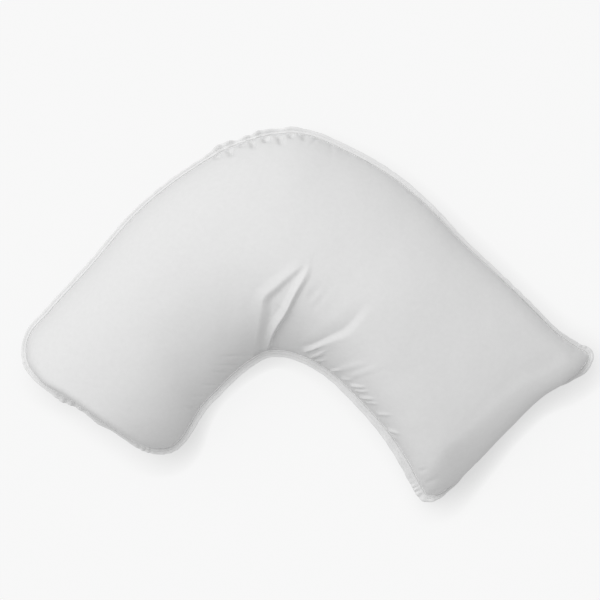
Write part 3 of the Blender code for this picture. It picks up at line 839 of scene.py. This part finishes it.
def coarse_faces(numbers, step):
    """Faces of every so many points of a grid, keeping all the points of its rim."""
    last_column = numbers.shape[0] - 1
    last_row = numbers.shape[1] - 1
    column_marks = coarse_marks(numbers.shape[0], step)
    row_marks = coarse_marks(numbers.shape[1], step)
    faces = []
    for left, right in zip(column_marks[:-1], column_marks[1:]):
        for low, high in zip(row_marks[:-1], row_marks[1:]):
            near = range(left, right) if low == 0 else (left,)
            far = range(right, left, -1) if high == last_row else (right,)
            ahead = range(low, high) if right == last_column else (low,)
            back = range(high, low, -1) if left == 0 else (high,)
            face = [numbers[column, low] for column in near]
            face += [numbers[right, row] for row in ahead]
            face += [numbers[column, high] for column in far]
            face += [numbers[left, row] for row in back]
            faces.append([int(number) for number in face])
    return faces


def mesh_object(name, points, faces, material):
    """A smooth-shaded mesh object in the scene."""
    mesh = bpy.data.meshes.new(name)
    mesh.from_pydata(points.tolist(), [], faces)
    mesh.validate()
    mesh.shade_smooth()
    mesh.materials.append(material)
    piece = bpy.data.objects.new(name, mesh)
    bpy.context.scene.collection.objects.link(piece)
    return piece


def make_cover_mesh(shape, material):
    """The filled cover: two panels that share the seam's points, the lower one coarser."""
    top, bottom = cover_panels(shape)
    columns, rows = top.shape[:2]
    upper = np.arange(columns * rows).reshape(columns, rows)
    lower = upper + columns * rows
    lower[0], lower[-1] = upper[0], upper[-1]
    lower[:, 0], lower[:, -1] = upper[:, 0], upper[:, -1]
    faces = grid_faces(upper).tolist() + coarse_faces(lower, shape.under_step)
    used = np.unique(np.concatenate([np.asarray(face) for face in faces]))
    renumber = np.zeros(2 * columns * rows, dtype=int)
    renumber[used] = np.arange(len(used))
    points = np.concatenate((top.reshape(-1, 3), bottom.reshape(-1, 3)))[used]
    faces = [renumber[face].tolist() for face in faces]
    return mesh_object("pillow_cover", points, faces, material)


def nearness(row, run, around, columns, rows):
    """How near each distance round the seam lies to a table row's place: 1 there, 0 far off."""
    numbers = np.arange(len(around))
    middle = np.interp(rim_place(row.side, row.place, columns, rows), numbers, around)
    apart = np.abs(run - middle)
    apart = np.minimum(apart, around[-1] - apart)
    return np.cos(0.5 * math.pi * np.clip(apart / row.half_length, 0.0, 1.0)) ** 2


def edge_waves(run, length, wave, rng):
    """An uneven wave round the whole edge."""
    total = np.zeros(len(run))
    third = wave.count // 3
    for number in range(wave.count - third, wave.count + third):
        phase = rng.uniform(0.0, 2.0 * math.pi)
        total += np.sin(2.0 * math.pi * number * run / length + phase)
    return wave.height * (total / np.abs(total).max())


def edge_stations(shape):
    """Stations at even steps round the seam: distance, all round, point, width, droop, lift."""
    columns = column_places(1)
    rows = row_shares(EDGE_ROWS)
    sheet = seam_surface(columns, rows)
    seam = rim_points(sheet)
    around = rim_lengths(seam)
    width = rim_values(EDGE_STATIONS, "width", around, columns, rows)
    droop = np.radians(rim_values(EDGE_STATIONS, "droop", around, columns, rows))
    lift = np.zeros(len(seam))
    for row in SCALLOPS:
        rise = nearness(row, around[:-1], around, columns, rows)
        width += row.width * rise
        lift += row.lift * rise

    count = round(around[-1] / shape.edge_spacing)
    run = np.arange(count) * around[-1] / count
    closed = np.vstack((seam, seam[:1]))
    points = np.stack([np.interp(run, around, closed[:, axis]) for axis in range(3)], axis=1)
    width, droop, lift = [np.interp(run, around[:-1], value, period=around[-1])
                          for value in (width, droop, lift)]
    rng = np.random.default_rng(WAVE_SEED)
    width += edge_waves(run, around[-1], WIDTH_WAVE, rng)
    lift += edge_waves(run, around[-1], LIFT_WAVE, rng)
    for row in RUMPLES:
        rise = nearness(row, run, around, columns, rows)
        turns = run / row.pitch + edge_waves(run, around[-1], WRINKLE_WAVE, rng)
        wrinkles = rise * np.sin(2.0 * math.pi * turns)
        lift += row.height * wrinkles
        width += WRINKLE_WIDTH * row.height * wrinkles
    return run, around[-1], points, width, droop, lift


# The sewn edge's stations: distance round the seam and all round it, the edge's first points,
# its directions along, outward and upward, and its width
EdgeAxes = namedtuple("EdgeAxes", "run length start ahead outward upward width")


def edge_axes(shape):
    """Stations of the sewn edge with its directions."""
    run, length, seam, width, droop, lift = edge_stations(shape)
    ahead = np.roll(seam, -2, axis=0) - np.roll(seam, 2, axis=0)
    ahead /= np.linalg.norm(ahead, axis=1, keepdims=True)
    level = np.stack((-ahead[:, 1], ahead[:, 0], np.zeros(len(seam))), axis=1)
    level /= np.linalg.norm(level, axis=1, keepdims=True)
    angle = droop - np.arctan2(lift, width)
    outward = level * np.cos(angle)[:, None]
    outward[:, 2] -= np.sin(angle)
    upward = level * np.sin(angle)[:, None]
    upward[:, 2] += np.cos(angle)
    gap = EDGE_GAP + 0.5 * shape.edge_thickness * np.abs(np.sin(angle))
    start = seam + level * gap[:, None]
    return EdgeAxes(run, length, start, ahead, outward, upward, width)


def make_edge_mesh(shape, material):
    """The flat sewn edge, with its stitched groove and plump turned fold."""
    axes = edge_axes(shape)
    half = 0.5 * shape.edge_thickness
    section = [(point.across, point.thick) for point in EDGE_SECTION]
    section.append((1.0, 0.0))
    section += [(point.across, -point.thick) for point in reversed(EDGE_SECTION)]
    lines = [axes.start + axes.outward * (across * axes.width)[:, None]
             + axes.upward * (thick * half) for across, thick in section]
    points = np.stack(lines, axis=1)
    stations, sides = points.shape[:2]
    numbers = np.arange(stations * sides).reshape(stations, sides)
    numbers = np.concatenate((numbers, numbers[:1]), axis=0)
    numbers = np.concatenate((numbers, numbers[:, :1]), axis=1)
    faces = grid_faces(numbers).tolist()
    return mesh_object("edge_flange_cloth", points.reshape(-1, 3), faces, material)


def stitch_points(axes, shape, face):
    """Points of the stitches on one face: for each point of a stitch, its place in all of them."""
    count = round(axes.length / shape.stitch_pitch)
    places = (np.arange(count) + 0.5) * axes.length / count
    line = axes.start + axes.outward * (STITCH_LINE * axes.width)[:, None]
    line = line + axes.upward * (face * STITCH_DEPTH * (0.5 * shape.edge_thickness))
    middle, ahead, beside, above = [
        np.stack([np.interp(places, axes.run, values[:, axis], period=axes.length)
                  for axis in range(3)], axis=1)
        for values in (line, axes.ahead, axes.outward, axes.upward)]
    steps = np.linspace(-1.0, 1.0, STITCH_RINGS)
    radii = np.sqrt(1.0 - STITCH_TAPER * steps ** 4) * shape.thread_radius
    points = []
    for step, radius in zip(steps, radii):
        along = 0.5 * shape.stitch_length * step
        rise = face * shape.thread_radius * (STITCH_RISE - STITCH_DIP * step ** 2)
        for angle in np.arange(STITCH_SIDES) * 2.0 * math.pi / STITCH_SIDES:
            points.append(middle + ahead * along
                          + beside * (radius * math.cos(angle))
                          + above * (rise + radius * math.sin(angle)))
    return points


def make_stitch_mesh(shape, material):
    """A row of stitches on either face of the sewn edge."""
    axes = edge_axes(shape)
    points = stitch_points(axes, shape, 1.0) + stitch_points(axes, shape, -1.0)
    block = np.stack(points, axis=1)
    stitch = np.arange(STITCH_RINGS * STITCH_SIDES).reshape(STITCH_RINGS, STITCH_SIDES)
    walls = grid_faces(np.concatenate((stitch, stitch[:, :1]), axis=1))
    starts = np.arange(2 * len(block)) * stitch.size
    faces = (walls[None] + starts[:, None, None]).reshape(-1, 4).tolist()
    for start in starts:
        faces.append((start + stitch[0, ::-1]).tolist())
        faces.append((start + stitch[-1]).tolist())
    return mesh_object("edge_stitches", block.reshape(-1, 3), faces, material)


def new_group(name, inputs, outputs):
    """An empty shader node group with named sockets."""
    group = bpy.data.node_groups.new(name, "ShaderNodeTree")
    for label, kind, default in inputs:
        socket = group.interface.new_socket(name=label, in_out="INPUT", socket_type=kind)
        socket.default_value = default
    for label, kind in outputs:
        group.interface.new_socket(name=label, in_out="OUTPUT", socket_type=kind)
    entry = group.nodes.new("NodeGroupInput")
    leave = group.nodes.new("NodeGroupOutput")
    return group, entry, leave


def math_node(tree, operation, first, second):
    """A Math node whose inputs are sockets or numbers; returns its output."""
    node = tree.nodes.new("ShaderNodeMath")
    node.operation = operation
    for socket, value in zip(node.inputs, (first, second)):
        if isinstance(value, bpy.types.NodeSocket):
            tree.links.new(value, socket)
        else:
            socket.default_value = value
    return node.outputs[0]


def weave_group():
    """Plain weave: threads that pass over and under each other. Puts out a height, 0 to 1."""
    name = "Plain weave"
    if name in bpy.data.node_groups:
        return bpy.data.node_groups[name]
    group, entry, leave = new_group(
        name, (("Thread spacing", "NodeSocketFloat", 0.0003),), (("Height", "NodeSocketFloat"),))
    place = group.nodes.new("ShaderNodeTexCoord")
    axes = group.nodes.new("ShaderNodeSeparateXYZ")
    group.links.new(place.outputs["Object"], axes.inputs[0])
    spacing = entry.outputs["Thread spacing"]
    waves = []
    for axis in ("X", "Y"):
        leaning = math_node(group, "ADD", axes.outputs[axis], axes.outputs["Z"])
        turns = math_node(group, "DIVIDE", leaning, spacing)
        waves.append(math_node(group, "SINE", math_node(group, "MULTIPLY", turns, math.pi), 0.0))
    woven = math_node(group, "MULTIPLY", waves[0], waves[1])
    height = math_node(group, "ADD", math_node(group, "MULTIPLY", woven, 0.5), 0.5)
    group.links.new(height, leave.inputs["Height"])
    return group


def handle_group():
    """Soft unevenness of handled cloth. Puts out a height, and a faint shade from 0 to 1."""
    name = "Handled cloth"
    if name in bpy.data.node_groups:
        return bpy.data.node_groups[name]
    group, entry, leave = new_group(
        name, (("Size", "NodeSocketFloat", 0.02),),
        (("Height", "NodeSocketFloat"), ("Shade", "NodeSocketFloat")))
    place = group.nodes.new("ShaderNodeTexCoord")
    scale = math_node(group, "DIVIDE", 1.0, entry.outputs["Size"])
    coarse = group.nodes.new("ShaderNodeTexNoise")
    coarse.inputs["Detail"].default_value = 3.0
    coarse.inputs["Roughness"].default_value = 0.45
    group.links.new(place.outputs["Object"], coarse.inputs["Vector"])
    group.links.new(scale, coarse.inputs["Scale"])
    fine = group.nodes.new("ShaderNodeTexNoise")
    fine.inputs["Detail"].default_value = 2.0
    group.links.new(place.outputs["Object"], fine.inputs["Vector"])
    fine_scale = math_node(group, "MULTIPLY", scale, FINE_HANDLING)
    group.links.new(fine_scale, fine.inputs["Scale"])
    fine_part = math_node(group, "MULTIPLY", fine.outputs["Fac"], FINE_SHARE)
    height = math_node(group, "ADD", coarse.outputs["Fac"], fine_part)
    group.links.new(height, leave.inputs["Height"])
    group.links.new(fine.outputs["Fac"], leave.inputs["Shade"])
    return group


def place_group(tree, group, values):
    """Place a node group in a material with its own values."""
    node = tree.nodes.new("ShaderNodeGroup")
    node.node_tree = group
    for label, value in values.items():
        node.inputs[label].default_value = value
    return node


def cotton(name, color, weave_pitch, finish):
    """Matt plain-woven cotton: weave and handling in its bump, and a faint uneven shade."""
    material = bpy.data.materials.new(name)
    material.use_nodes = True
    tree = material.node_tree
    shader = tree.nodes["Principled BSDF"]
    shader.inputs["Roughness"].default_value = 0.88
    shader.inputs["Sheen Weight"].default_value = finish.sheen
    shader.inputs["Sheen Roughness"].default_value = 0.55
    shader.inputs["Specular IOR Level"].default_value = 0.25

    weave = place_group(tree, weave_group(), {"Thread spacing": weave_pitch})
    handled = place_group(tree, handle_group(), {"Size": finish.handle_size})
    soft = tree.nodes.new("ShaderNodeBump")
    soft.inputs["Strength"].default_value = 1.0
    soft.inputs["Distance"].default_value = finish.handle_height
    tree.links.new(handled.outputs["Height"], soft.inputs["Height"])
    threads = tree.nodes.new("ShaderNodeBump")
    threads.inputs["Strength"].default_value = 0.5
    threads.inputs["Distance"].default_value = THREAD_RELIEF * weave_pitch
    tree.links.new(weave.outputs["Height"], threads.inputs["Height"])
    tree.links.new(soft.outputs["Normal"], threads.inputs["Normal"])
    tree.links.new(threads.outputs["Normal"], shader.inputs["Normal"])

    shade = tree.nodes.new("ShaderNodeMix")
    shade.data_type = "RGBA"
    darker = [(1.0 - SHADE_SPREAD) * part for part in color]
    lighter = [min(1.0, (1.0 + SHADE_SPREAD) * part) for part in color]
    shade.inputs["A"].default_value = (*darker, 1.0)
    shade.inputs["B"].default_value = (*lighter, 1.0)
    tree.links.new(handled.outputs["Shade"], shade.inputs["Factor"])
    tree.links.new(shade.outputs["Result"], shader.inputs["Base Color"])
    return material


def direction(turn, tilt):
    """A direction that is turned in plan from +X and tilted from straight up."""
    spread = math.sin(tilt)
    return Vector((spread * math.cos(turn), spread * math.sin(turn), math.cos(tilt)))


def floor_material(stage):
    """Pale glowing floor with a painted shadow: its glow is darker close to the pillow, on the
    side away from the light.
    """
    material = bpy.data.materials.new("pale_floor")
    material.use_nodes = True
    tree = material.node_tree
    shader = tree.nodes["Principled BSDF"]
    shader.inputs["Base Color"].default_value = (*stage.floor_color, 1.0)
    shader.inputs["Roughness"].default_value = 1.0
    shader.inputs["Specular IOR Level"].default_value = 0.0
    shader.inputs["Emission Color"].default_value = (1.0, 1.0, 1.0, 1.0)
    # Painted shadow: an ambient occlusion node, leaned toward the light, darkens the floor's glow
    # close to the pillow.
    painted_shadow_openness = tree.nodes.new("ShaderNodeAmbientOcclusion")
    painted_shadow_openness.samples = 8
    painted_shadow_openness.inputs["Distance"].default_value = stage.shade_reach
    lean = tree.nodes.new("ShaderNodeCombineXYZ")
    open_side = direction(stage.shade_turn, stage.shade_tilt)
    for socket, value in zip(lean.inputs, open_side):
        socket.default_value = value
    tree.links.new(lean.outputs[0], painted_shadow_openness.inputs["Normal"])
    # Glow of the painted shadow: from the shaded glow where the floor is shut in, up to the open
    # floor's glow.
    glow = tree.nodes.new("ShaderNodeMapRange")
    glow.inputs["To Min"].default_value = stage.shade_glow
    glow.inputs["To Max"].default_value = stage.floor_glow
    tree.links.new(painted_shadow_openness.outputs["AO"], glow.inputs["Value"])
    # Only the camera sees the glow with its painted shadow; the pillow gets an even bounce light
    # from the floor.
    seen = tree.nodes.new("ShaderNodeLightPath")
    strength = tree.nodes.new("ShaderNodeMix")
    strength.inputs["A"].default_value = stage.bounce
    tree.links.new(seen.outputs["Is Camera Ray"], strength.inputs["Factor"])
    tree.links.new(glow.outputs["Result"], strength.inputs["B"])
    tree.links.new(strength.outputs["Result"], shader.inputs["Emission Strength"])
    return material


def even_fill(stage):
    """Even light from all round."""
    world = bpy.data.worlds.new("even_fill")
    world.use_nodes = True
    background = world.node_tree.nodes["Background"]
    background.inputs["Color"].default_value = (1.0, 1.0, 1.0, 1.0)
    background.inputs["Strength"].default_value = stage.sky_strength
    return world


def key_light(stage):
    """A soft light from the upper left."""
    key = bpy.data.lights.new("key_light", "SUN")
    key.energy = stage.key_strength
    key.angle = stage.key_softness
    lamp = bpy.data.objects.new("key_light", key)
    toward = direction(stage.key_turn, stage.key_tilt)
    lamp.rotation_euler = toward.to_track_quat("Z", "Y").to_euler()
    return lamp


def camera_above(stage):
    """A camera that looks straight down at the view's middle."""
    lens = bpy.data.cameras.new("from_above")
    lens.sensor_width = SENSOR_WIDTH
    lens.lens = SENSOR_WIDTH * (stage.camera_height - SEAM_LEVEL) / VIEW_WIDTH
    camera = bpy.data.objects.new("from_above", lens)
    camera.location = (*VIEW_MIDDLE, stage.camera_height)
    return camera


class PILLOW_OT_cover(bpy.types.Operator):
    """Make the filled cover with its folds and gathers"""
    bl_idname = "pillow.cover"
    bl_label = "Filled cover"

    def execute(self, context):
        shape = context.scene.pillow_shape
        cloth = context.scene.pillow_cloth
        material = cotton("cover_cotton", cloth.cover_color, cloth.weave_pitch, COVER_FINISH)
        cover = make_cover_mesh(shape, material)
        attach(cover, "root")
        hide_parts("pillow")
        return {"FINISHED"}


class PILLOW_OT_edge(bpy.types.Operator):
    """Make the flat edge that is sewn into the seam"""
    bl_idname = "pillow.edge"
    bl_label = "Sewn edge"

    def execute(self, context):
        shape = context.scene.pillow_shape
        cloth = context.scene.pillow_cloth
        material = cotton("edge_cotton", cloth.edge_color, cloth.weave_pitch, EDGE_FINISH)
        edge = make_edge_mesh(shape, material)
        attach(edge, "root")
        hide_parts("edge_flange")
        return {"FINISHED"}


class PILLOW_OT_stitches(bpy.types.Operator):
    """Make the rows of stitches along the sewn edge"""
    bl_idname = "pillow.stitches"
    bl_label = "Stitches"

    def execute(self, context):
        shape = context.scene.pillow_shape
        cloth = context.scene.pillow_cloth
        material = cotton("sewing_thread", cloth.thread_color, cloth.weave_pitch,
                          THREAD_FINISH)
        stitches = make_stitch_mesh(shape, material)
        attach(stitches, "root")
        return {"FINISHED"}


class PILLOW_OT_stage(bpy.types.Operator):
    """Make the pale floor with its painted shadow, the soft light and the camera"""
    bl_idname = "pillow.stage"
    bl_label = "Stage"

    def execute(self, context):
        stage = context.scene.pillow_stage
        bpy.ops.mesh.primitive_plane_add(size=FLOOR_SIZE)
        floor = context.object
        floor.name = "floor"
        floor.data.materials.append(floor_material(stage))
        context.scene.world = even_fill(stage)
        context.scene.collection.objects.link(key_light(stage))
        camera = camera_above(stage)
        context.scene.collection.objects.link(camera)
        context.scene.camera = camera
        context.scene.view_settings.view_transform = "Standard"
        return {"FINISHED"}


class PILLOW_PT_panel(bpy.types.Panel):
    """Makes the pillow's pieces"""
    bl_idname = "PILLOW_PT_panel"
    bl_label = "Side sleeper pillow"
    bl_space_type = "VIEW_3D"
    bl_region_type = "UI"
    bl_category = "Pillow"

    def draw(self, context):
        layout = self.layout
        for operator in OPERATORS:
            layout.operator(operator.bl_idname)
        for group in ("pillow_shape", "pillow_cloth", "pillow_stage"):
            values = getattr(context.scene, group)
            box = layout.box()
            for name in values.bl_rna.properties.keys():
                if name not in ("rna_type", "name"):
                    box.prop(values, name)


GROUPS = {"pillow_shape": PillowShape, "pillow_cloth": PillowCloth, "pillow_stage": PillowStage}
OPERATORS = (PILLOW_OT_cover, PILLOW_OT_edge, PILLOW_OT_stitches, PILLOW_OT_stage)


def register():
    """Register the classes and hang the property groups on the scene."""
    for name, group in GROUPS.items():
        bpy.utils.register_class(group)
        setattr(bpy.types.Scene, name, bpy.props.PointerProperty(type=group))
    for operator in OPERATORS:
        bpy.utils.register_class(operator)
    bpy.utils.register_class(PILLOW_PT_panel)


def unregister():
    """Undo register."""
    bpy.utils.unregister_class(PILLOW_PT_panel)
    for operator in reversed(OPERATORS):
        bpy.utils.unregister_class(operator)
    for name, group in GROUPS.items():
        delattr(bpy.types.Scene, name)
        bpy.utils.unregister_class(group)


def main():
    """Make every piece and the stage."""
    register()
    bpy.ops.pillow.cover()
    bpy.ops.pillow.edge()
    bpy.ops.pillow.stitches()
    bpy.ops.pillow.stage()


if __name__ == "__main__":
    main()
